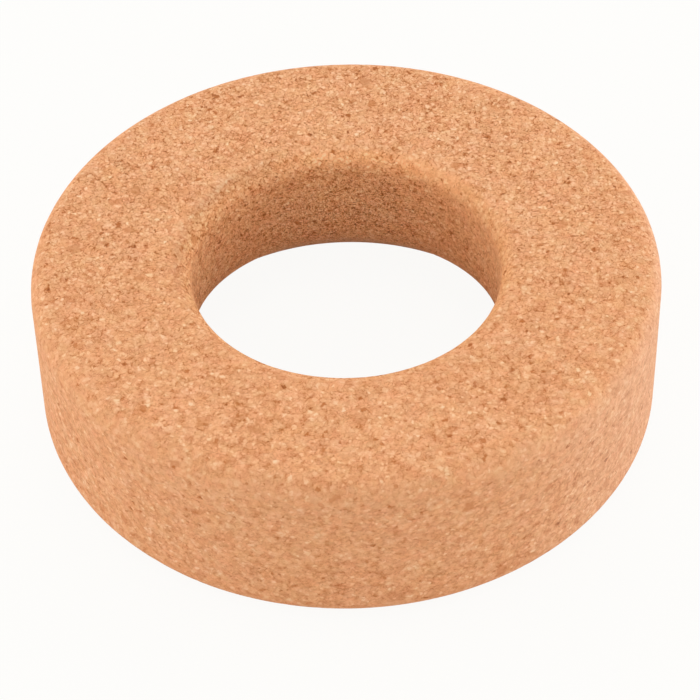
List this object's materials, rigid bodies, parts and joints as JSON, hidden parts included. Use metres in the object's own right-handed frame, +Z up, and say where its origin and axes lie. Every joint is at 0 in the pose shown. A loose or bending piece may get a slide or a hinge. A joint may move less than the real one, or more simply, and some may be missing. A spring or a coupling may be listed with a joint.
{
  "type": "cork ring",
  "caption": "Round ring of pressed cork with rounded edges, a straight throat and a wide conical seat on its underside, that a round-bottomed flask stands in.",
  "frame": {"origin": "middle of the foot face that the ring stands on", "axes": "+Z up along the ring's axis, from the foot face to the top face; X and Y are equal, because the ring is round"},
  "size_m": [0.11, 0.11, 0.032],
  "materials": {
    "pressed_cork": "matt, finely granular, sanded smooth at the edges"
  },
  "bodies": {
    "root": {"cork_ring": "pressed_cork"}
  },
  "joints": []
}
